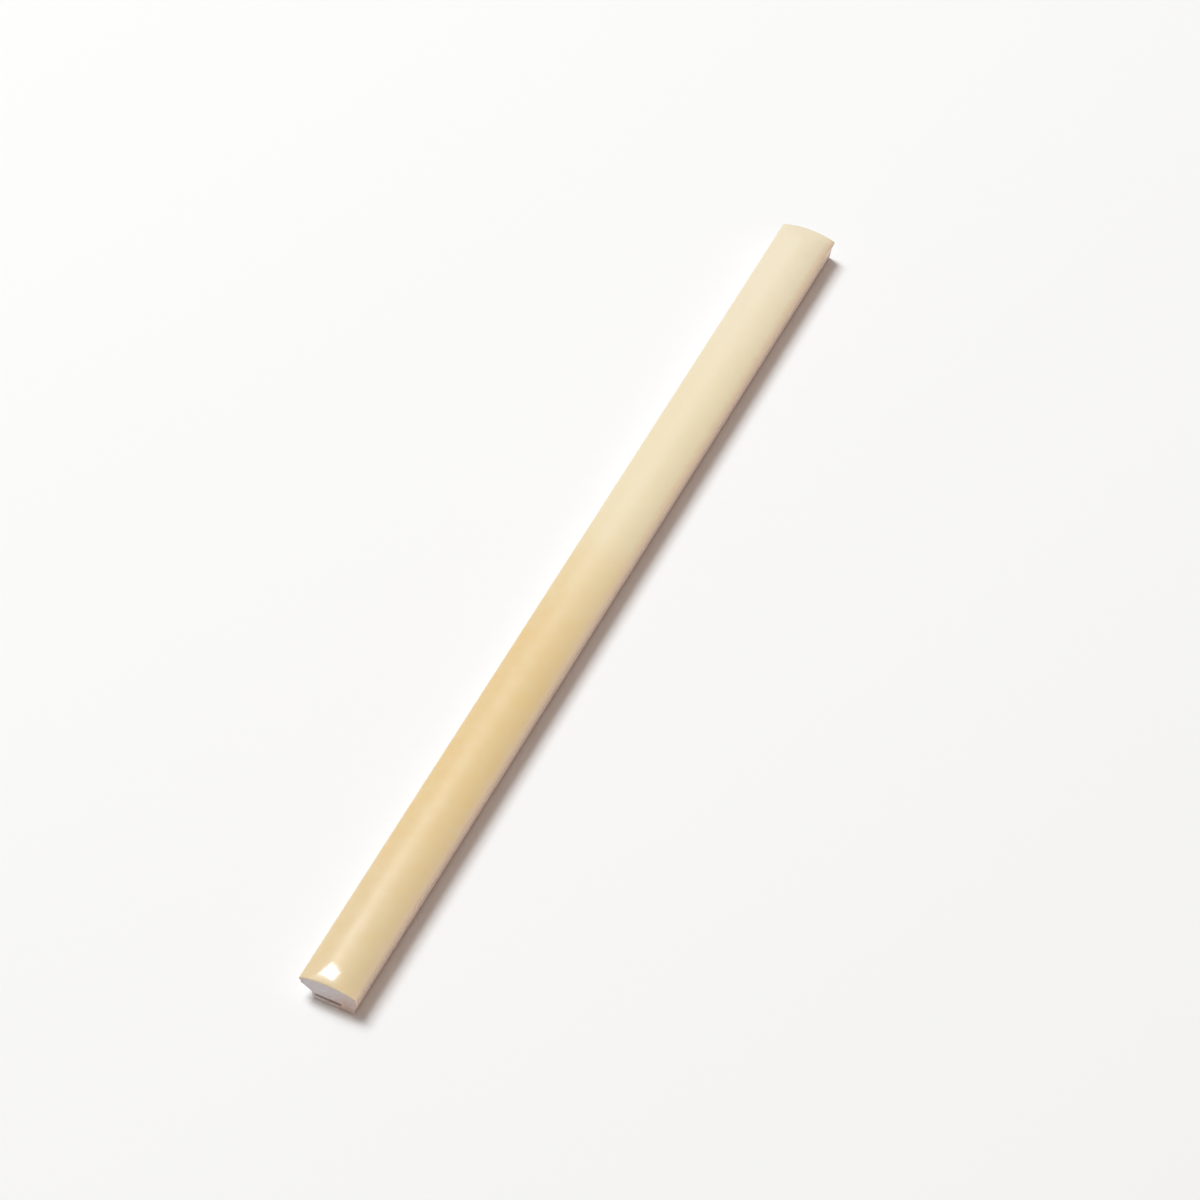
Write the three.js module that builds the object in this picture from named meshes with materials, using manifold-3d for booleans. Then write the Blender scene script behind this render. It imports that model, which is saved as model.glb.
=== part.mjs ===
// A glazed ceramic pencil trim bar: a slim crowned bar of extruded and fired clay, with a
// slip coat (engobe) and a gloss glaze over its crown. Units are millimetres. The long
// axis lies along Y, Z points up, and the origin is the middle of the underside.
import * as THREE from "three";
import { mergeVertices } from "three/addons/utils/BufferGeometryUtils.js";
import Module from "manifold-3d";

const wasm = await Module();
wasm.setup();

// Driving dimensions of the finished bar.
const LENGTH = 203;
const WIDTH = 11.6;
const HEIGHT = 6.9;
const SHOULDER_HEIGHT = 5.0; // where crown and side wall would meet if they weren't rounded
const SHOULDER_ROUND = 0.7;

// The crown rolls over at both ends: it dips by END_DROP over the last END_RUN.
const END_RUN = 4.6;
const END_DROP = 0.75;

// The fired coats, from the outside in, and the hairline bond kept between two layers.
const GLAZE_THICKNESS = 0.25;
const ENGOBE_THICKNESS = 0.15;
const BOND = 0.02;
const GLAZE_RIM = 4.0; // height of the lower rim of the glaze on the side walls
const ENGOBE_RIM = 3.3;

// Below the engobe the right wall leans in to its foot. The left one is cut back by a bevel.
const RIGHT_FOOT = 4.95;
const LEFT_FOOT = 3.4;
const BEVEL_LOW = 1.9;
const BEVEL_FOOT = 3.5;
const FOOT_ROUND = 0.4;

// The flat drying core, a slot that runs through the body from end to end.
const CORE_CENTRE = -0.25;
const CORE_WIDTH = 5.3;
const CORE_TOP = 1.62;
const CORE_BOTTOM = 0.98;

// Arc steps, and how far a cutting shape runs past what it cuts.
const CROWN_STEPS = 20;
const END_STEPS = 8;
const SMALL_STEPS = 5;
const OVERRUN = 1;

// The crown is one arc across the bar, and each shoulder an arc tangent to it and to the wall.
const CROWN_RISE = HEIGHT - SHOULDER_HEIGHT;
const CROWN_RADIUS = ((WIDTH / 2) ** 2 + CROWN_RISE ** 2) / (2 * CROWN_RISE);
const CROWN_CENTRE = HEIGHT - CROWN_RADIUS;
const SHOULDER_X = WIDTH / 2 - SHOULDER_ROUND;
const SHOULDER_Z = CROWN_CENTRE + Math.sqrt((CROWN_RADIUS - SHOULDER_ROUND) ** 2 - SHOULDER_X ** 2);
const SHOULDER_ANGLE = Math.atan2(SHOULDER_Z - CROWN_CENTRE, SHOULDER_X);
const END_RADIUS = (END_RUN ** 2 + END_DROP ** 2) / (2 * END_DROP);

// How deep the outside of each inner layer lies below the finished surface.
const ENGOBE_INSET = GLAZE_THICKNESS + BOND;
const BODY_INSET = ENGOBE_INSET + ENGOBE_THICKNESS + BOND;

const X = new THREE.Vector3(1, 0, 0);
const Y = new THREE.Vector3(0, 1, 0);
const Z = new THREE.Vector3(0, 0, 1);

function point(x, y) {
  return new THREE.Vector2(x, y);
}

// Points of an arc from one angle to another, both included.
function arc(x, y, radius, from, to, steps) {
  return Array.from({ length: steps + 1 }, (_, i) => {
    const angle = THREE.MathUtils.lerp(from, to, i / steps);
    return point(x + radius * Math.cos(angle), y + radius * Math.sin(angle));
  });
}

// The other half of an outline, in the order that carries on from the first half.
function mirrored(points) {
  return points.map((p) => point(-p.x, p.y)).reverse();
}

// The crown and both shoulders, from the right wall to the left wall.
function crown(inset) {
  const start = SHOULDER_ANGLE;
  const shoulder = arc(SHOULDER_X, SHOULDER_Z, SHOULDER_ROUND - inset, 0, start, SMALL_STEPS);
  const top = arc(0, CROWN_CENTRE, CROWN_RADIUS - inset, start, Math.PI - start, CROWN_STEPS);
  return [...shoulder, ...top.slice(1, -1), ...mirrored(shoulder)];
}

// The body below the engobe, from the left wall to the right wall.
function underside() {
  const wall = WIDTH / 2 - BODY_INSET;
  const turn = Math.PI / 2;
  return [
    point(-wall, ENGOBE_RIM),
    point(-BEVEL_FOOT, BEVEL_LOW),
    ...arc(FOOT_ROUND - LEFT_FOOT, FOOT_ROUND, FOOT_ROUND, 2 * turn, 3 * turn, SMALL_STEPS),
    ...arc(RIGHT_FOOT - FOOT_ROUND, FOOT_ROUND, FOOT_ROUND, -turn, 0, SMALL_STEPS),
    point(wall, ENGOBE_RIM),
  ];
}

// The bar's side view, in Y and Z, under the surface at this inset. It runs past both ends.
function sideView(inset) {
  const end = LENGTH / 2;
  const radius = END_RADIUS - inset;
  const start = Math.acos(END_RUN / radius);
  const rollOver = arc(end - END_RUN, HEIGHT - END_RADIUS, radius, start, Math.PI / 2, END_STEPS);
  const right = [point(end + OVERRUN, -OVERRUN), point(end + OVERRUN, rollOver[0].y), ...rollOver];
  return [...right, ...mirrored(right)];
}

// A prism of an outline that is drawn along two axes, centred on the origin along the third.
function prism(points, length, across, up) {
  const along = across.clone().cross(up);
  const shape = new THREE.Shape(points);
  const geometry = new THREE.ExtrudeGeometry(shape, { depth: length, bevelEnabled: false });
  geometry.translate(0, 0, -length / 2);
  return geometry.applyMatrix4(new THREE.Matrix4().makeBasis(across, up, along));
}

function solidOf(geometry) {
  geometry.deleteAttribute("normal");
  geometry.deleteAttribute("uv");
  const merged = mergeVertices(geometry);
  const vertProperties = merged.attributes.position.array;
  const triVerts = new Uint32Array(merged.index.array);
  return new wasm.Manifold(new wasm.Mesh({ numProp: 3, vertProperties, triVerts }));
}

function geometryOf(solid) {
  const { vertProperties, triVerts } = solid.getMesh();
  const geometry = new THREE.BufferGeometry();
  geometry.setAttribute("position", new THREE.BufferAttribute(vertProperties, 3));
  geometry.setIndex(new THREE.BufferAttribute(triVerts, 1));
  geometry.computeVertexNormals();
  return geometry;
}

// A bar of this section whose top rolls over at the ends, on the surface at this inset.
function rolledBar(section, inset, length) {
  const straight = solidOf(prism(section, length, X, Z));
  return straight.intersect(solidOf(prism(sideView(inset), 2 * WIDTH, Y, Z)));
}

// Everything between the surface at this inset and a level floor.
function crownedBlock(inset, floor, length) {
  const wall = WIDTH / 2 - inset;
  return rolledBar([...crown(inset), point(-wall, floor), point(wall, floor)], inset, length);
}

// A coat that wraps the crown and ends at a level rim on each side wall.
function coat(inset, thickness, rim) {
  const inside = crownedBlock(inset + thickness, rim - OVERRUN, LENGTH + 2 * OVERRUN);
  return crownedBlock(inset, rim, LENGTH).subtract(inside);
}

// The outline of the drying core, with round sides.
function dryingCore() {
  const round = (CORE_TOP - CORE_BOTTOM) / 2;
  const middle = (CORE_TOP + CORE_BOTTOM) / 2;
  const side = CORE_WIDTH / 2 - round;
  const turn = Math.PI / 2;
  return [
    ...arc(CORE_CENTRE + side, middle, round, -turn, turn, SMALL_STEPS),
    ...arc(CORE_CENTRE - side, middle, round, turn, 3 * turn, SMALL_STEPS),
  ];
}

function clayBody() {
  const solid = rolledBar([...crown(BODY_INSET), ...underside()], BODY_INSET, LENGTH);
  return solid.subtract(solidOf(prism(dryingCore(), LENGTH + 2 * OVERRUN, X, Z)));
}

const bisqueClay = new THREE.MeshStandardMaterial({ color: 0xc2aaa0, roughness: 0.85, metalness: 0 });
const engobeSlip = new THREE.MeshStandardMaterial({ color: 0xdcc2ae, roughness: 0.6, metalness: 0 });
const glossGlaze = new THREE.MeshStandardMaterial({ color: 0xe9d6a6, roughness: 0.12, metalness: 0 });

function piece(name, solid, material) {
  const mesh = new THREE.Mesh(geometryOf(solid), material);
  mesh.name = name;
  return mesh;
}

const trimBar = new THREE.Group();
trimBar.name = "glazed_pencil_trim_bar";
trimBar.add(piece("bisque_body", clayBody(), bisqueClay));
trimBar.add(piece("engobe_layer", coat(ENGOBE_INSET, ENGOBE_THICKNESS, ENGOBE_RIM), engobeSlip));
trimBar.add(piece("glaze_coat", coat(0, GLAZE_THICKNESS, GLAZE_RIM), glossGlaze));

export default trimBar;
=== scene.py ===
"""Glazed pencil trim bar: a slim crowned bar of fired clay under an engobe and a gloss glaze.

Laid out as a Blender add-on. Lengths in the settings and the helpers are metres, and MM turns
millimetres into them. The bar lies along Y, its crown faces up Z, and it stands on Z = 0.
"""
import math

import bmesh
import bpy
from bpy.props import FloatProperty, FloatVectorProperty, PointerProperty
from mathutils import Matrix, Vector, noise


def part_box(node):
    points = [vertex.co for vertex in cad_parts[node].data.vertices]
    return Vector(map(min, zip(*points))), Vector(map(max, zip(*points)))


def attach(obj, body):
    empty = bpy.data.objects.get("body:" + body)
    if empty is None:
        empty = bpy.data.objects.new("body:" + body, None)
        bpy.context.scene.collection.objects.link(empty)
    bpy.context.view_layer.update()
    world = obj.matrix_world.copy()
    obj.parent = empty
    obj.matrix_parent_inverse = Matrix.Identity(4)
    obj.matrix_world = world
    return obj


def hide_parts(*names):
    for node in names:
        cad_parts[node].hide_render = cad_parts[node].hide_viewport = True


bl_info = {
    "name": "Glazed Pencil Trim Bar",
    "version": (1, 0, 0),
    "blender": (4, 5, 0),
    "location": "3D View > Sidebar > Trim Bar",
    "description": "Builds a glazed ceramic trim bar in its fired layers, on a pale studio table",
    "category": "Add Mesh",
}

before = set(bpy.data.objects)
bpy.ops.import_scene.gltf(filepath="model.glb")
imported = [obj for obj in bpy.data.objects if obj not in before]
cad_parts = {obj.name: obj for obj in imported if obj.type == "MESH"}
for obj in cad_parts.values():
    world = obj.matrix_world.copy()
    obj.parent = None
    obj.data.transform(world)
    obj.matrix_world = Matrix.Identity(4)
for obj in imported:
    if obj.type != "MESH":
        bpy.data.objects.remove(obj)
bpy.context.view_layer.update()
MM = 0.001

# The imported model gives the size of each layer.
GLAZE_LOW, GLAZE_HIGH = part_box("glaze_coat")
ENGOBE_LOW, ENGOBE_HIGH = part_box("engobe_layer")
CLAY_LOW, CLAY_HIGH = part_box("bisque_body")
END = GLAZE_HIGH.y
HALF_WIDTH = GLAZE_HIGH.x
TOP = GLAZE_HIGH.z
GLAZE_RIM = GLAZE_LOW.z
ENGOBE_RIM = ENGOBE_LOW.z

# How deep each inner layer lies under the finished surface, and how thick that makes the coats.
BOND = 0.02 * MM
ENGOBE_INSET = HALF_WIDTH - ENGOBE_HIGH.x
CLAY_INSET = HALF_WIDTH - CLAY_HIGH.x
GLAZE_THICKNESS = ENGOBE_INSET - BOND
ENGOBE_THICKNESS = CLAY_INSET - ENGOBE_INSET - BOND

# The crown: one arc across the bar, and a shoulder arc tangent to it and to the wall.
SHOULDER_HEIGHT = 5.0 * MM
SHOULDER_ROUND = 0.7 * MM
CROWN_RISE = TOP - SHOULDER_HEIGHT
CROWN_RADIUS = (HALF_WIDTH ** 2 + CROWN_RISE ** 2) / (2 * CROWN_RISE)
CROWN_CENTRE = TOP - CROWN_RADIUS
SHOULDER_X = HALF_WIDTH - SHOULDER_ROUND
SHOULDER_Z = CROWN_CENTRE + math.sqrt((CROWN_RADIUS - SHOULDER_ROUND) ** 2 - SHOULDER_X ** 2)
CROWN_ANGLE = math.atan2(SHOULDER_X, SHOULDER_Z - CROWN_CENTRE)

# The crown rolls over towards both ends.
END_RUN = 4.6 * MM
END_DROP = 0.75 * MM
END_POWER = 2.2

# Cross-sections stand close together near the ends, and further apart between them.
END_ZONE = 6.0 * MM
END_STEP = 0.3 * MM
MIDDLE_STEP = 1.2 * MM

# How many steps each arc takes.
CROWN_STEPS = 26
SHOULDER_STEPS = 7
FOOT_STEPS = 5
CORE_STEPS = 8
RIM_STEPS = 6
ARRIS_STEPS = 4
LIP_STEPS = 4

# Vertices this close together are one.
TOUCHING = 1e-7

# Sizes of the long and short waves in a coat's rim and in the glaze's surface.
RIM_WAVES = (9 * MM, 3 * MM)
GLAZE_WAVES = (11 * MM, 5 * MM)

# Drag lines are narrow across the body and long along it.
DRAG_WIDTH = 0.4 * MM
DRAG_LENGTH = 60 * MM

# The cut ends: the grid that carries their relief, and the sizes of the marks in it.
CUT_PITCH = 0.33 * MM
WIRE_MARK_LENGTH = 4 * MM
WIRE_MARK_WIDTH = 0.5 * MM
WIRE_MARK_TILT = 0.2
CRUMBLE = 0.8 * MM

# Edges sharper than this are shaded as edges.
SHARP = math.radians(32)


def linear(hex_colour):
    """sRGB hex to the linear red, green and blue that Blender works in."""
    channels = (int(hex_colour[i:i + 2], 16) / 255 for i in (1, 3, 5))
    return tuple(c / 12.92 if c <= 0.04045 else ((c + 0.055) / 1.055) ** 2.4 for c in channels)


def length(name, description, default, low=0.0):
    """A length setting in metres, shown in the scene's unit."""
    return FloatProperty(name=name, description=description, default=default, min=low,
                         subtype="DISTANCE", unit="LENGTH", precision=5)


def colour(name, description, hex_colour):
    """A colour setting."""
    return FloatVectorProperty(name=name, description=description, default=linear(hex_colour),
                               size=3, min=0.0, max=1.0, subtype="COLOR")


def power(name, description, default):
    """A light's power in watts."""
    return FloatProperty(name=name, description=description, default=default, min=0.0,
                         subtype="POWER", unit="POWER")


class ClaySettings(bpy.types.PropertyGroup):
    """Sizes and colours of the extruded clay body."""
    right_foot: length("Right foot", "From the middle to the right lower edge", 4.95 * MM)
    left_foot: length("Left foot", "From the middle to the left lower edge", 3.4 * MM)
    foot_round: length("Foot rounding", "Radius of the two long lower edges", 0.4 * MM)
    bevel_foot: length("Bevel foot", "From the middle to the bottom of the left bevel", 3.5 * MM)
    bevel_low: length("Bevel height", "Height of the bottom of the left bevel", 1.9 * MM)
    core_centre: length("Core place", "Middle of the drying core across the bar", -0.25 * MM, -MM)
    core_width: length("Core width", "Width of the drying core", 5.3 * MM)
    core_top: length("Core top", "Height of the drying core's roof", 1.62 * MM)
    core_bottom: length("Core bottom", "Height of the drying core's floor", 0.98 * MM)
    arris: length("Arris", "How far the edges of the cut ends are worn off", 0.14 * MM)
    drag: length("Drag lines", "Depth of the lines that the die draws along the body", 0.035 * MM)
    cut: length("Cut relief", "Depth of the marks that the wire leaves on the cut ends", 0.07 * MM)
    clay: colour("Clay", "Colour of the fired clay", "#e2dee1")
    # Also painted shade: mixed in more towards the lower right, the side turned from the softbox.
    iron_and_shade: colour("Iron", "Colour where iron in the clay shows", "#dabfb1")
    slip: colour("Overspray", "Colour of the slip mist on the upper part of the side walls", "#f6dccd")
    # Painted shade: the darker colour at the feet of the side walls, next to the floor.
    painted_foot_shade: colour("Flash", "Colour of the feet of the side walls, browned by the flame", "#d9bba8")
    speck: colour("Speck", "Colour of the dark grains in the clay", "#7d6259")


class EngobeSettings(bpy.types.PropertyGroup):
    """Sizes and colours of the engobe."""
    rim_wander: length("Rim wander", "How far the lower rim rises and falls", 0.22 * MM)
    white: colour("Slip", "Colour of the slip where it lies thick", "#f8e9da")
    thin: colour("Thin slip", "Colour where the clay shines through", "#efdacd")


class GlazeSettings(bpy.types.PropertyGroup):
    """Sizes and colours of the glaze."""
    rim_wander: length("Rim wander", "How far the lower rim rises and falls", 0.14 * MM)
    wave: length("Surface wave", "How deep the melted surface undulates", 0.012 * MM)
    lip: length("Lip", "Rounding of the glaze's edge at both ends", 0.16 * MM)
    near: colour("Near end", "Colour at the near end", "#e7cea0")
    honey: colour("Honey", "Deepest colour, a third of the way along", "#eacb91")
    cream: colour("Cream", "Colour past the middle", "#f2e3be")
    far: colour("Far end", "Colour at the far end", "#f3e6c8")
    # Painted light: this colour is added to lighten the right half, the side that the softbox leaves
    # darker.
    lift: colour("Lift", "What the slip below adds to the colour on the thinner right half", "#504a36")
    breaking: colour("Breaking", "Colour where the glaze thins over an edge", "#f4d6b6")


class StageSettings(bpy.types.PropertyGroup):
    """Table, lights and camera."""
    table: colour("Table", "Colour of the table", "#fbfbfa")
    key: power("Softbox", "Power of the large softbox", 76.0)
    panel: power("Panel", "Power of the dim panel that brightens the ridge", 1.5)
    daylight: colour("Key colour", "Colour of the softbox", "#f5fbff")
    fill: colour("Fill colour", "Colour of the light from all round", "#ffefe5")
    horizon: FloatProperty(name="Horizon", description="Strength of the light from low down",
                           default=0.4, min=0.0)
    zenith: FloatProperty(name="Zenith", description="Strength of the light from overhead",
                          default=0.26, min=0.0)


# Mesh helpers.

class Outline:
    """Draws an outline in the XZ plane at the near end, vertex by vertex from its tip."""

    def __init__(self, bm, x, z):
        self.bm = bm
        self.tip = bm.verts.new((x, -END, z))

    def arc(self, x, z, angle, steps):
        """Carries on round a centre. A positive angle turns from up towards the right."""
        made = bmesh.ops.spin(self.bm, geom=[self.tip], cent=(x, -END, z), axis=(0, 1, 0),
                              angle=angle, steps=steps, use_merge=False, use_duplicate=False)
        self.tip = next(part for part in made["geom_last"] if isinstance(part, bmesh.types.BMVert))
        return self

    def line(self, x, z, steps=1):
        """Carries on straight to a point."""
        stride = (Vector((x, -END, z)) - self.tip.co) / steps
        for _ in range(steps):
            self.tip = bmesh.ops.extrude_vert_indiv(self.bm, verts=[self.tip])["verts"][0]
            self.tip.co += stride
        return self


def crown_half(bm, inset):
    """The right half of the crown and its shoulder, from the ridge to the top of the wall."""
    outline = Outline(bm, 0.0, TOP - inset)
    outline.arc(0.0, CROWN_CENTRE, CROWN_ANGLE, CROWN_STEPS)
    return outline.arc(SHOULDER_X, SHOULDER_Z, math.pi / 2 - CROWN_ANGLE, SHOULDER_STEPS)


def stations(edge):
    """Places of the cross-sections along Y, closer together where a worn edge is rounded off."""
    turn = math.pi / (2 * ARRIS_STEPS)
    near = [-END + edge * (1 - math.cos(turn * i)) for i in range(ARRIS_STEPS if edge else 1)]
    near += [-END + max(i * END_STEP, edge) for i in range(1, round(END_ZONE / END_STEP))]
    inner = 2 * (END - END_ZONE)
    count = round(inner / MIDDLE_STEP)
    middle = [-END + END_ZONE + inner * i / count for i in range(count + 1)]
    return near + middle + [-y for y in reversed(near)]


def sweep(bm, edge=0.0):
    """Closes the outlines and draws them along the bar. Returns the edges round its near and far
    end."""
    bmesh.ops.remove_doubles(bm, verts=bm.verts, dist=TOUCHING)
    places = stations(edge)
    near = edges = bm.edges[:]
    for here, there in zip(places, places[1:]):
        made = bmesh.ops.extrude_edge_only(bm, edges=edges)["geom"]
        verts = [part for part in made if isinstance(part, bmesh.types.BMVert)]
        edges = [part for part in made if isinstance(part, bmesh.types.BMEdge)]
        bmesh.ops.translate(bm, verts=verts, vec=(0.0, there - here, 0.0))
    return near, edges


def depth_under_glaze(point):
    """How far a point lies below the finished surface, across the section."""
    x, z = abs(point.x), point.z
    if math.atan2(x, z - CROWN_CENTRE) < CROWN_ANGLE:
        return CROWN_RADIUS - math.hypot(x, z - CROWN_CENTRE)
    if z > SHOULDER_Z:
        return SHOULDER_ROUND - math.hypot(x - SHOULDER_X, z - SHOULDER_Z)
    return HALF_WIDTH - x


def roll_over(bm):
    """Lowers the crown towards both ends, most along the ridge and not at all at the walls."""
    for vert in bm.verts:
        run = END_RUN - (END - abs(vert.co.y))
        if run > 0 and vert.co.z > SHOULDER_Z:
            x = min(abs(vert.co.x), HALF_WIDTH)
            share = (CROWN_CENTRE + math.sqrt(CROWN_RADIUS ** 2 - x * x) - SHOULDER_HEIGHT) / CROWN_RISE
            vert.co.z -= share * END_DROP * (run / END_RUN) ** END_POWER


def waves(x, y, z, size, seed):
    """Smooth noise from -1 to 1 whose waves are about this long."""
    return noise.noise(Vector((x / size + seed, y / size, z / size)))


def wander(bm, rim, amount, seed):
    """Lets the lower rim of a coat rise and fall along each wall."""
    for vert in bm.verts:
        below = SHOULDER_Z - vert.co.z
        if below > 0:
            side = math.copysign(seed, vert.co.x)
            long, short = (waves(0, vert.co.y, 0, size, side) for size in RIM_WAVES)
            shift = long + 0.5 * short
            vert.co.z += shift * amount * below / (SHOULDER_Z - rim)


def round_end_edges(bm, caps, width, chosen):
    """Rounds the chosen edges round both end faces."""
    edges = [edge for cap in caps for edge in cap.edges if chosen(edge)]
    bmesh.ops.bevel(bm, geom=edges, offset=width, offset_type="OFFSET", segments=LIP_STEPS, profile=0.5,
                    affect="EDGES", material=-1, clamp_overlap=True, loop_slide=True)


def finish_mesh(name, bm, material, node):
    """Makes the piece's object, hides the CAD node that it stands for, and hangs the piece under the
    root body. The two ends of a coat are big flat faces, and keep hard edges."""
    bm.normal_update()
    for face in bm.faces:
        face.smooth = True
    for edge in bm.edges:
        flat = any(abs(face.normal.y) > 0.999 and len(face.verts) > 8 for face in edge.link_faces)
        edge.smooth = not flat and edge.calc_face_angle(0.0) < SHARP
    mesh = bpy.data.meshes.new(name)
    bm.to_mesh(mesh)
    bm.free()
    mesh.materials.append(material)
    piece = bpy.data.objects.new(name, mesh)
    bpy.context.scene.collection.objects.link(piece)
    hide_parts(node)
    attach(piece, "root")
    return piece


# Materials.

NOISE = "ShaderNodeTexNoise"
RANGE = "ShaderNodeMapRange"
MATH = "ShaderNodeMath"
MIX = "ShaderNodeMix"
SMOOTH = {"interpolation_type": "SMOOTHSTEP"}
ADD = {"operation": "ADD"}
MULTIPLY = {"operation": "MULTIPLY"}
COLOURS = {"data_type": "RGBA"}
SHARE, FIRST, SECOND = 0, 6, 7  # the mix node's inputs for colours


def add_node(tree, kind, inputs, settings=None):
    """Adds a shader node, sets its settings, and sets its inputs or links them to other nodes."""
    node = tree.nodes.new(kind)
    for key, value in (settings or {}).items():
        setattr(node, key, value)
    for key, value in inputs.items():
        socket = node.inputs[key]
        if isinstance(value, bpy.types.Node):
            value = next(output for output in value.outputs if output.enabled)
        if isinstance(value, bpy.types.NodeSocket):
            tree.links.new(value, socket)
        else:
            socket.default_value = (*value, 1.0) if socket.type == "RGBA" else value
    return node


def new_material(name):
    """An empty node material and its node tree."""
    material = bpy.data.materials.new(name)
    material.use_nodes = True
    material.node_tree.nodes.clear()
    return material, material.node_tree


def finish_material(tree, inputs):
    """Closes a material with its surface shader."""
    shader = add_node(tree, "ShaderNodeBsdfPrincipled", inputs)
    add_node(tree, "ShaderNodeOutputMaterial", {"Surface": shader})


def extruded_fired_clay(clay):
    """Extruded, wire-cut and fired earthenware. It is dry and chalky, with a fine tooth, drag lines
    along the die's direction and warmer iron patches. Painted shade makes it warmer and darker towards
    the lower right and at the feet of the side walls."""
    material, tree = new_material("extruded_fired_clay")
    place = add_node(tree, "ShaderNodeTexCoord", {}).outputs["Object"]
    axes = add_node(tree, "ShaderNodeSeparateXYZ", {"Vector": place})

    # Painted shade: the warmer, darker iron colour is mixed in more towards the lower right, the side
    # turned from the softbox and close to the floor, and in patches.
    patches = add_node(tree, NOISE, {"Vector": place, "Scale": 1 / (2.5 * MM), "Detail": 3.0})
    patches = add_node(tree, RANGE, {"Value": patches, "From Min": 0.42, "From Max": 0.66,
                                     "To Min": 0.5, "To Max": 1.0}, SMOOTH)
    lean = add_node(tree, MATH, {0: axes.outputs["X"], 1: axes.outputs["Z"]}, {"operation": "SUBTRACT"})
    lean = add_node(tree, RANGE, {"Value": lean, "From Min": -6 * MM, "From Max": 3.5 * MM}, SMOOTH)
    iron_and_shade = add_node(tree, MATH, {0: patches, 1: lean}, MULTIPLY)
    tint = add_node(tree, MIX, {SHARE: iron_and_shade, FIRST: clay.clay, SECOND: clay.iron_and_shade}, COLOURS)
    mottle = add_node(tree, NOISE, {"Vector": place, "Scale": 1 / (0.6 * MM), "Detail": 5.0,
                                    "Roughness": 0.65})
    mottle = add_node(tree, RANGE, {"Value": mottle, "From Min": 0.35, "From Max": 0.7,
                                    "To Max": 0.22}, SMOOTH)
    tint = add_node(tree, MIX, {SHARE: mottle, FIRST: tint, SECOND: clay.iron_and_shade}, COLOURS)

    # The side walls, but not the cut ends, carry a mist of slip above, and painted shade darkens and
    # browns them at the foot.
    side = add_node(tree, MATH, {0: axes.outputs["X"]}, {"operation": "ABSOLUTE"})
    side = add_node(tree, RANGE, {"Value": side, "From Min": 4.6 * MM, "From Max": 4.95 * MM}, SMOOTH)
    run = add_node(tree, MATH, {0: axes.outputs["Y"]}, {"operation": "ABSOLUTE"})
    run = add_node(tree, RANGE, {"Value": run, "From Min": END - 0.3 * MM, "From Max": END - 0.1 * MM,
                                 "To Min": 1.0, "To Max": 0.0}, SMOOTH)
    side = add_node(tree, MATH, {0: side, 1: run}, MULTIPLY)
    patchy = add_node(tree, NOISE, {"Vector": place, "Scale": 1 / (1.1 * MM), "Detail": 3.0})
    patchy = add_node(tree, RANGE, {"Value": patchy, "From Min": 0.25, "From Max": 0.6,
                                    "To Min": 0.6}, SMOOTH)
    side = add_node(tree, MATH, {0: side, 1: patchy}, MULTIPLY)
    # Painted shade at the foot of the walls, fading into the slip above.
    fade = add_node(tree, RANGE, {"Value": axes.outputs["Z"], "From Min": 0.4 * MM,
                                  "From Max": 1.8 * MM}, SMOOTH)
    wall = add_node(tree, MIX, {SHARE: fade, FIRST: clay.painted_foot_shade, SECOND: clay.slip}, COLOURS)
    tint = add_node(tree, MIX, {SHARE: side, FIRST: tint, SECOND: wall}, COLOURS)

    # Grog is about 0.1 mm across. It is drawn three times as coarse, so that it shows.
    speck = add_node(tree, "ShaderNodeTexVoronoi", {"Vector": place, "Scale": 1 / (1.6 * MM)})
    speck = add_node(tree, RANGE, {"Value": speck, "From Min": 0.06, "From Max": 0.13,
                                   "To Min": 0.55, "To Max": 0.0}, SMOOTH)
    tint = add_node(tree, MIX, {SHARE: speck, FIRST: tint, SECOND: clay.speck}, COLOURS)

    # Drag lines are some 0.3 mm apart and run for centimetres. The tooth is that of fine sand.
    stretch = add_node(tree, "ShaderNodeMapping", {"Vector": place, "Scale": (1.0, 0.02, 1.0)})
    lines = add_node(tree, NOISE, {"Vector": stretch, "Scale": 1 / (0.3 * MM)})
    lines = add_node(tree, MATH, {0: lines, 1: 0.6}, MULTIPLY)
    tooth = add_node(tree, NOISE, {"Vector": place, "Scale": 1 / (0.22 * MM), "Detail": 4.0,
                                   "Roughness": 0.7})
    height = add_node(tree, MATH, {0: tooth, 1: lines}, ADD)
    bump = add_node(tree, "ShaderNodeBump", {"Height": height, "Distance": 0.06 * MM})
    finish_material(tree, {"Base Color": tint, "Roughness": 0.88, "Specular IOR Level": 0.3,
                           "Normal": bump})
    return material


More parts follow.
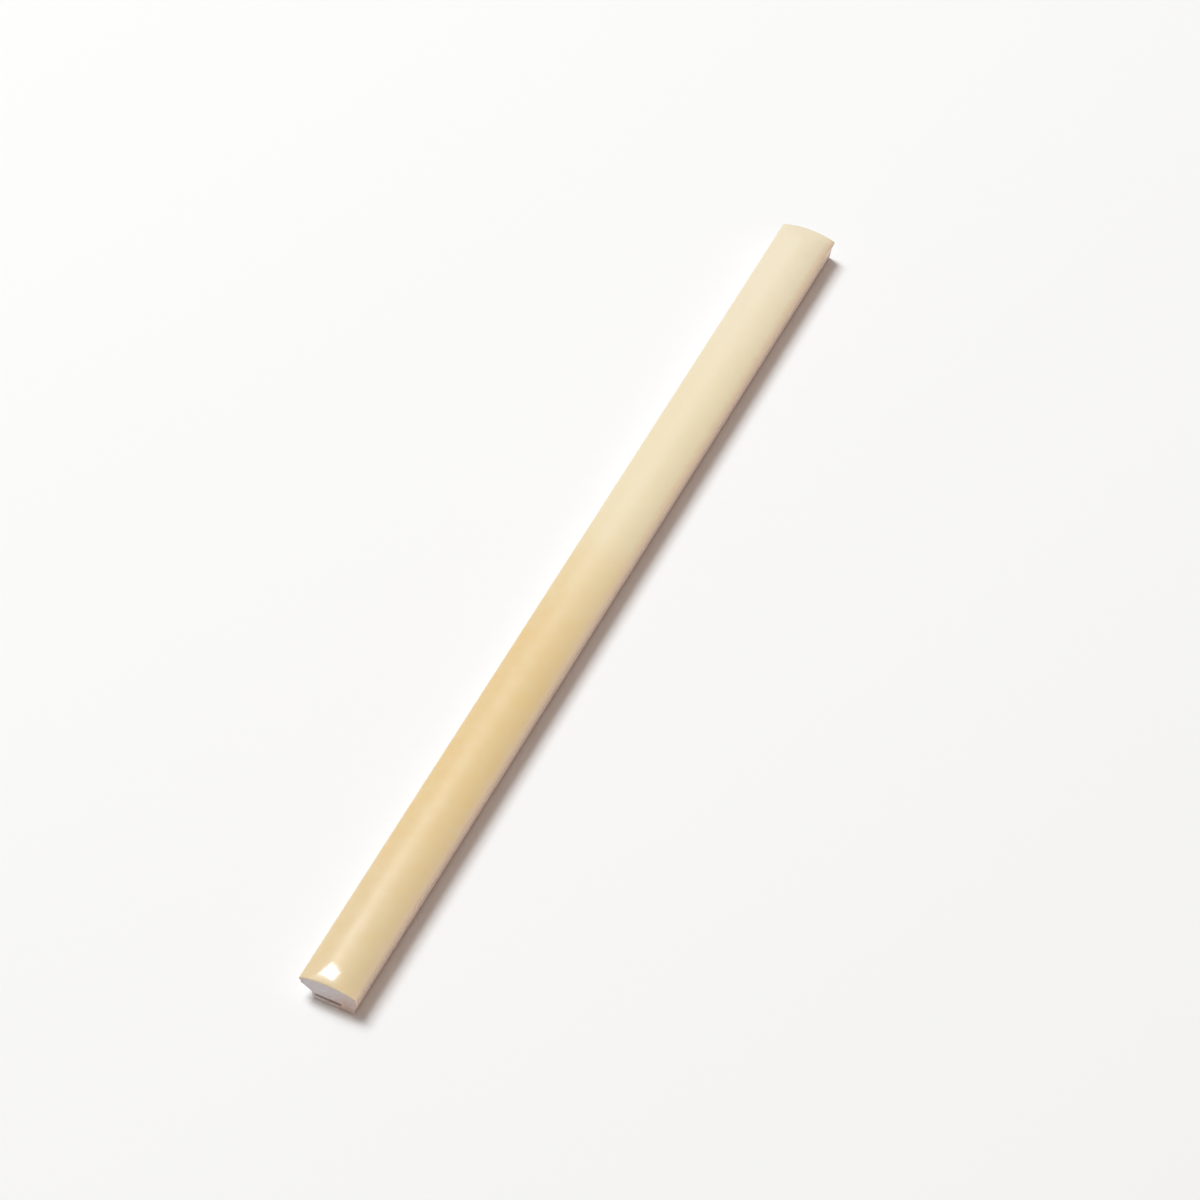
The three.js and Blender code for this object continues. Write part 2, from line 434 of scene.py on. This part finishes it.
def sprayed_engobe(engobe):
    """White-firing slip, sprayed on and fired. It is eggshell smooth and flat, and pinkish where
    it thins towards its rim and the clay shines through."""
    material, tree = new_material("sprayed_engobe")
    place = add_node(tree, "ShaderNodeTexCoord", {}).outputs["Object"]
    height = add_node(tree, "ShaderNodeSeparateXYZ", {"Vector": place}).outputs["Z"]
    thick = add_node(tree, RANGE, {"Value": height, "From Min": ENGOBE_RIM,
                                   "From Max": GLAZE_RIM + 0.4 * MM}, SMOOTH)
    cloud = add_node(tree, NOISE, {"Vector": place, "Scale": 1 / (1.4 * MM), "Detail": 3.0})
    cloud = add_node(tree, RANGE, {"Value": cloud, "From Min": 0.2, "From Max": 0.6}, SMOOTH)
    share = add_node(tree, MATH, {0: thick, 1: cloud}, MULTIPLY)
    tint = add_node(tree, MIX, {SHARE: share, FIRST: engobe.thin, SECOND: engobe.white}, COLOURS)

    # Spray droplets dry as grains of about 0.1 mm, drawn twice as coarse so that they show.
    drops = add_node(tree, NOISE, {"Vector": place, "Scale": 1 / (0.2 * MM), "Detail": 3.0})
    bump = add_node(tree, "ShaderNodeBump", {"Height": drops, "Distance": 0.03 * MM})
    finish_material(tree, {"Base Color": tint, "Roughness": 0.6, "Normal": bump})
    return material


def honey_gloss_glaze(glaze):
    """Gloss earthenware glaze, melted mirror-smooth. Its colour changes between cream and honey along
    the bar, painted light lightens its right half, it turns paler and pinker towards the right
    shoulder, and its clear skin gives bright highlights."""
    material, tree = new_material("honey_gloss_glaze")
    place = add_node(tree, "ShaderNodeTexCoord", {}).outputs["Object"]
    axes = add_node(tree, "ShaderNodeSeparateXYZ", {"Vector": place})

    # The colour changes along the bar, and slow clouds keep the change from being even.
    drift = add_node(tree, NOISE, {"Vector": place, "Scale": 1 / (14 * MM), "Detail": 3.0})
    drift = add_node(tree, RANGE, {"Value": drift, "To Min": -15 * MM, "To Max": 15 * MM})
    along = add_node(tree, MATH, {0: axes.outputs["Y"], 1: drift}, ADD)
    tint = glaze.near
    for start, stop, shade in ((-1.0, -0.45, glaze.honey), (-0.25, 0.3, glaze.cream),
                               (0.3, 1.0, glaze.far)):
        share = add_node(tree, RANGE, {"Value": along, "From Min": start * END,
                                       "From Max": stop * END}, SMOOTH)
        tint = add_node(tree, MIX, {SHARE: share, FIRST: tint, SECOND: shade}, COLOURS)

    # Painted light: an added colour lightens the right half, the side that the softbox leaves darker.
    # The colour also turns paler and pinker towards the right shoulder.
    thin = add_node(tree, RANGE, {"Value": axes.outputs["X"], "From Min": -2.5 * MM,
                                  "From Max": 3 * MM}, SMOOTH)
    tint = add_node(tree, MIX, {SHARE: thin, FIRST: tint, SECOND: glaze.lift},
                    {"data_type": "RGBA", "blend_type": "ADD"})
    ragged = add_node(tree, NOISE, {"Vector": place, "Scale": 1 / (1.5 * MM), "Detail": 3.0})
    ragged = add_node(tree, RANGE, {"Value": ragged, "To Min": -0.5 * MM, "To Max": 0.5 * MM})
    edge = add_node(tree, MATH, {0: axes.outputs["X"], 1: ragged}, ADD)
    edge = add_node(tree, RANGE, {"Value": edge, "From Min": HALF_WIDTH - 1.6 * MM,
                                  "From Max": HALF_WIDTH - 0.3 * MM, "To Max": 0.85}, SMOOTH)
    tint = add_node(tree, MIX, {SHARE: edge, FIRST: tint, SECOND: glaze.breaking}, COLOURS)

    # Opacifier clouds and, drawn five times as coarse as it is, the slip's speckle below.
    cloud = add_node(tree, NOISE, {"Vector": place, "Scale": 1 / (3 * MM), "Detail": 4.0})
    cloud = add_node(tree, RANGE, {"Value": cloud, "From Min": 0.3, "From Max": 0.75,
                                   "To Max": 0.22}, SMOOTH)
    tint = add_node(tree, MIX, {SHARE: cloud, FIRST: tint, SECOND: glaze.cream}, COLOURS)
    speckle = add_node(tree, NOISE, {"Vector": place, "Scale": 1 / (0.5 * MM)})
    speckle = add_node(tree, RANGE, {"Value": speckle, "From Min": 0.58, "From Max": 0.75,
                                     "To Max": 0.2}, SMOOTH)
    tint = add_node(tree, MIX, {SHARE: speckle, FIRST: tint, SECOND: glaze.breaking}, COLOURS)

    swell = add_node(tree, NOISE, {"Vector": place, "Scale": 1 / (1.8 * MM), "Detail": 1.0})
    bump = add_node(tree, "ShaderNodeBump", {"Height": swell, "Distance": 0.012 * MM})
    finish_material(tree, {"Base Color": tint, "Roughness": 0.35, "IOR": 1.5, "Coat Weight": 1.0,
                           "Coat Roughness": 0.13, "Coat IOR": 1.55, "Normal": bump})
    return material


# Pieces.

def drag_lines(bm, depth):
    """Sinks long shallow lines into the bare clay, along the way it left the die."""
    for vert in bm.verts:
        if vert.co.z < SHOULDER_Z:
            x, y, z = vert.co
            line = noise.noise(Vector((x / DRAG_WIDTH, y / DRAG_LENGTH, z / DRAG_WIDTH)))
            inward = Vector((vert.normal.x, 0.0, vert.normal.z))
            vert.co -= inward * depth * (0.5 + 0.5 * line)
            vert.co.z = max(vert.co.z, 0.0)


def wear_edges(bm, width):
    """Rounds off the edges round both ends, on the outside and in the mouth of the core."""
    for vert in bm.verts:
        run = min(width - (END - abs(vert.co.y)), width)
        if run > 0:
            inward = Vector((vert.normal.x, 0.0, vert.normal.z)).normalized()
            vert.co -= inward * (width - math.sqrt(width ** 2 - run ** 2))


def wire_cut(bm, parts, depth):
    """Cuts both end faces into a fine grid, and sinks the marks of the cutting wire into them."""
    rows = round(CLAY_HIGH.z / CUT_PITCH)
    columns = round(2 * CLAY_HIGH.x / CUT_PITCH)
    planes = [((0.0, 0.0, i * CUT_PITCH), (0.0, 0.0, 1.0)) for i in range(1, rows)]
    planes += [((CLAY_LOW.x + i * CUT_PITCH, 0.0, 0.0), (1.0, 0.0, 0.0)) for i in range(1, columns)]
    for point, normal in planes:
        parts = bmesh.ops.bisect_plane(bm, geom=parts, dist=TOUCHING, plane_co=point,
                                       plane_no=normal)["geom"]
    flat = {part for part in parts if isinstance(part, bmesh.types.BMFace)}
    for vert in {vert for face in flat for vert in face.verts}:
        if all(face in flat for face in vert.link_faces):
            x, y, z = vert.co
            tilted = z + WIRE_MARK_TILT * x
            mark = 0.6 * noise.noise(Vector((x / WIRE_MARK_LENGTH, y, tilted / WIRE_MARK_WIDTH)))
            mark += 0.6 * waves(x, y, z, CRUMBLE, 3.0)
            vert.co.y -= math.copysign(depth * min(max(0.5 + mark, 0.0), 1.0), y)


class TRIMBAR_OT_clay_body(bpy.types.Operator):
    """Build the extruded clay body, with its flat back, the left bevel and the drying core"""
    bl_idname = "trimbar.clay_body"
    bl_label = "Clay Body"

    def execute(self, context):
        clay = context.scene.trimbar_clay
        wall = CLAY_HIGH.x
        turn = math.pi / 2
        bm = bmesh.new()
        outline = crown_half(bm, CLAY_INSET)
        outline.line(wall, ENGOBE_RIM, 4)
        outline.line(clay.right_foot, clay.foot_round, 12)
        outline.arc(clay.right_foot - clay.foot_round, clay.foot_round, turn, FOOT_STEPS)

        outline.line(clay.foot_round - clay.left_foot, 0.0, 24)
        outline.arc(clay.foot_round - clay.left_foot, clay.foot_round, turn, FOOT_STEPS)
        outline.line(-clay.bevel_foot, clay.bevel_low, 5)
        outline.line(-wall, ENGOBE_RIM, 8)
        outline.line(-wall, SHOULDER_Z, 4)
        outline.arc(-SHOULDER_X, SHOULDER_Z, turn - CROWN_ANGLE, SHOULDER_STEPS)
        outline.arc(0.0, CROWN_CENTRE, CROWN_ANGLE, CROWN_STEPS)

        core_round = (clay.core_top - clay.core_bottom) / 2
        side = clay.core_width / 2 - core_round
        core = Outline(bm, clay.core_centre - side, clay.core_top)
        core.line(clay.core_centre + side, clay.core_top, 14)
        core.arc(clay.core_centre + side, clay.core_top - core_round, 2 * turn, CORE_STEPS)
        core.line(clay.core_centre - side, clay.core_bottom, 14)
        core.arc(clay.core_centre - side, clay.core_top - core_round, 2 * turn, CORE_STEPS)

        parts = []
        for loop in sweep(bm, clay.arris):
            made = bmesh.ops.triangle_fill(bm, edges=loop, use_beauty=True)["geom"]
            faces = [part for part in made if isinstance(part, bmesh.types.BMFace)]
            parts += faces
            parts += {edge for face in faces for edge in face.edges}
            parts += {vert for face in faces for vert in face.verts}
        bmesh.ops.recalc_face_normals(bm, faces=bm.faces)
        roll_over(bm)
        bm.normal_update()
        drag_lines(bm, clay.drag)
        wear_edges(bm, clay.arris)
        wire_cut(bm, parts, clay.cut)
        finish_mesh("clay_body", bm, extruded_fired_clay(clay), "bisque_body")
        return {"FINISHED"}


def coat_mesh(inset, thickness, rim):
    """A coat that wraps the crown and thins out to a round lower rim on each wall. Returns it with
    its two end faces."""
    bm = bmesh.new()
    outer = HALF_WIDTH - inset
    inner = outer - thickness
    bead = 0.25 * thickness
    outline = crown_half(bm, inset)
    outline.line(inner + 2 * bead, rim + bead, 6)
    outline.arc(inner + bead, rim + bead, math.pi, RIM_STEPS)
    outline.line(inner, SHOULDER_Z, 6)
    outline.arc(SHOULDER_X, SHOULDER_Z, CROWN_ANGLE - math.pi / 2, SHOULDER_STEPS)
    outline.arc(0.0, CROWN_CENTRE, -CROWN_ANGLE, CROWN_STEPS)
    bmesh.ops.mirror(bm, geom=bm.verts[:] + bm.edges[:], axis="X", merge_dist=TOUCHING)
    caps = [bmesh.ops.edgeloop_fill(bm, edges=loop)["faces"][0] for loop in sweep(bm)]
    bmesh.ops.recalc_face_normals(bm, faces=bm.faces)
    return bm, caps


class TRIMBAR_OT_engobe_layer(bpy.types.Operator):
    """Build the engobe, the slip coat between the clay and the glaze"""
    bl_idname = "trimbar.engobe_layer"
    bl_label = "Engobe Layer"

    def execute(self, context):
        engobe = context.scene.trimbar_engobe
        bm, _ = coat_mesh(ENGOBE_INSET, ENGOBE_THICKNESS, ENGOBE_RIM)
        roll_over(bm)
        wander(bm, ENGOBE_RIM, engobe.rim_wander, seed=11.0)
        finish_mesh("engobe_layer_coat", bm, sprayed_engobe(engobe), "engobe_layer")
        return {"FINISHED"}


class TRIMBAR_OT_glaze_coat(bpy.types.Operator):
    """Build the gloss glaze over the crown"""
    bl_idname = "trimbar.glaze_coat"
    bl_label = "Glaze Coat"

    def execute(self, context):
        glaze = context.scene.trimbar_glaze
        bm, caps = coat_mesh(0.0, GLAZE_THICKNESS, GLAZE_RIM)
        bm.normal_update()
        skin = {vert for vert in bm.verts if depth_under_glaze(vert.co) < 0.3 * GLAZE_THICKNESS}
        for vert in skin:
            x, y, z = vert.co
            long, short = (waves(x, y, z, size, seed) for size, seed in zip(GLAZE_WAVES, (5.0, 7.0)))
            dip = 0.5 + 0.5 * long + 0.25 * short
            inward = Vector((vert.normal.x, 0.0, vert.normal.z))
            vert.co -= inward * glaze.wave * dip
        roll_over(bm)
        wander(bm, GLAZE_RIM, glaze.rim_wander, seed=23.0)
        round_end_edges(bm, caps, glaze.lip, lambda edge: all(vert in skin for vert in edge.verts))
        finish_mesh("gloss_glaze_coat", bm, honey_gloss_glaze(glaze), "glaze_coat")
        return {"FINISHED"}


# The camera stands right of the near end and looks down along the bar.
CAMERA_LENS = 120.0
CAMERA_DISTANCE = 0.7576
CAMERA_AZIMUTH = math.radians(26.22)
CAMERA_ELEVATION = math.radians(51.3)
CAMERA_SHIFT = Vector((-2.552 * MM, 0.246 * MM, 0.0))  # of the bar's middle, seen square to the view

# The lights: widths and heights in metres, and directions from the bar.
KEY_SIZE = (1.0, 1.5)
KEY_DIRECTION = Vector((-0.41, 0.18, 0.90))
PANEL_SIZE = (1.5, 1.5)
PANEL_DIRECTION = Vector((-0.43, 0.56, 0.71))
LIGHT_DISTANCE = 3.0

TABLE_REACH = 3.0  # from the middle of the table to its edges


def towards(azimuth, elevation):
    """Unit vector from the bar to a place at this azimuth, right of the near end, and elevation."""
    level = math.cos(elevation)
    return Vector((math.sin(azimuth) * level, -math.cos(azimuth) * level, math.sin(elevation)))


def add_light(name, size, watts, shade, direction):
    """A soft rectangular light that faces the bar."""
    light = bpy.data.lights.new(name, "AREA")
    light.shape = "RECTANGLE"
    light.size, light.size_y = size
    light.energy = watts
    light.color = shade
    lamp = bpy.data.objects.new(name, light)
    lamp.location = direction.normalized() * LIGHT_DISTANCE
    lamp.rotation_euler = direction.to_track_quat("Z", "Y").to_euler()
    bpy.context.scene.collection.objects.link(lamp)


def light_tent(stage):
    """Light from all round, brighter low down than overhead, as in a white tent."""
    world = bpy.data.worlds.new("light_tent")
    world.use_nodes = True
    tree = world.node_tree
    tree.nodes.clear()
    place = add_node(tree, "ShaderNodeTexCoord", {}).outputs["Generated"]
    height = add_node(tree, "ShaderNodeSeparateXYZ", {"Vector": place}).outputs["Z"]
    strength = add_node(tree, RANGE, {"Value": height, "From Min": 0.25, "From Max": 0.85,
                                      "To Min": stage.horizon, "To Max": stage.zenith}, SMOOTH)
    light = add_node(tree, "ShaderNodeBackground", {"Color": stage.fill, "Strength": strength})
    add_node(tree, "ShaderNodeOutputWorld", {"Surface": light})
    return world


class TRIMBAR_OT_stage(bpy.types.Operator):
    """Set the table, the lights and the camera"""
    bl_idname = "trimbar.stage"
    bl_label = "Stage"

    def execute(self, context):
        scene = context.scene
        stage = scene.trimbar_stage
        bm = bmesh.new()
        bmesh.ops.create_grid(bm, x_segments=1, y_segments=1, size=TABLE_REACH)
        mesh = bpy.data.meshes.new("table")
        bm.to_mesh(mesh)
        bm.free()
        material, tree = new_material("matte_white_laminate")
        finish_material(tree, {"Base Color": stage.table, "Roughness": 0.9})
        mesh.materials.append(material)
        table = bpy.data.objects.new("table", mesh)
        scene.collection.objects.link(table)

        scene.world = light_tent(stage)
        add_light("softbox", KEY_SIZE, stage.key, stage.daylight, KEY_DIRECTION)
        add_light("panel", PANEL_SIZE, stage.panel, stage.daylight, PANEL_DIRECTION)

        data = bpy.data.cameras.new("camera")
        data.lens = CAMERA_LENS
        camera = bpy.data.objects.new("camera", data)
        back = towards(CAMERA_AZIMUTH, CAMERA_ELEVATION)
        target = Matrix.Rotation(CAMERA_AZIMUTH, 4, "Z") @ -CAMERA_SHIFT
        camera.location = target + back * CAMERA_DISTANCE
        camera.rotation_euler = back.to_track_quat("Z", "Y").to_euler()
        scene.collection.objects.link(camera)
        scene.camera = camera
        scene.view_settings.view_transform = "Standard"
        return {"FINISHED"}


class TRIMBAR_PT_panel(bpy.types.Panel):
    """Lists the pieces and their settings"""
    bl_idname = "TRIMBAR_PT_panel"
    bl_label = "Trim Bar"
    bl_space_type = "VIEW_3D"
    bl_region_type = "UI"
    bl_category = "Trim Bar"

    def draw(self, context):
        for operator, group, _ in STEPS:
            box = self.layout.box()
            box.operator(operator.bl_idname)
            settings = getattr(context.scene, group)
            for key in settings.bl_rna.properties.keys():
                if key not in ("name", "rna_type"):
                    box.prop(settings, key)


STEPS = (
    (TRIMBAR_OT_clay_body, "trimbar_clay", ClaySettings),
    (TRIMBAR_OT_engobe_layer, "trimbar_engobe", EngobeSettings),
    (TRIMBAR_OT_glaze_coat, "trimbar_glaze", GlazeSettings),
    (TRIMBAR_OT_stage, "trimbar_stage", StageSettings),
)


def register():
    for operator, group, settings in STEPS:
        bpy.utils.register_class(settings)
        bpy.utils.register_class(operator)
        setattr(bpy.types.Scene, group, PointerProperty(type=settings))
    bpy.utils.register_class(TRIMBAR_PT_panel)


def unregister():
    bpy.utils.unregister_class(TRIMBAR_PT_panel)
    for operator, group, settings in reversed(STEPS):
        delattr(bpy.types.Scene, group)
        bpy.utils.unregister_class(operator)
        bpy.utils.unregister_class(settings)


def main():
    register()
    bpy.ops.trimbar.clay_body()
    bpy.ops.trimbar.engobe_layer()
    bpy.ops.trimbar.glaze_coat()
    bpy.ops.trimbar.stage()


if __name__ == "__main__":
    main()
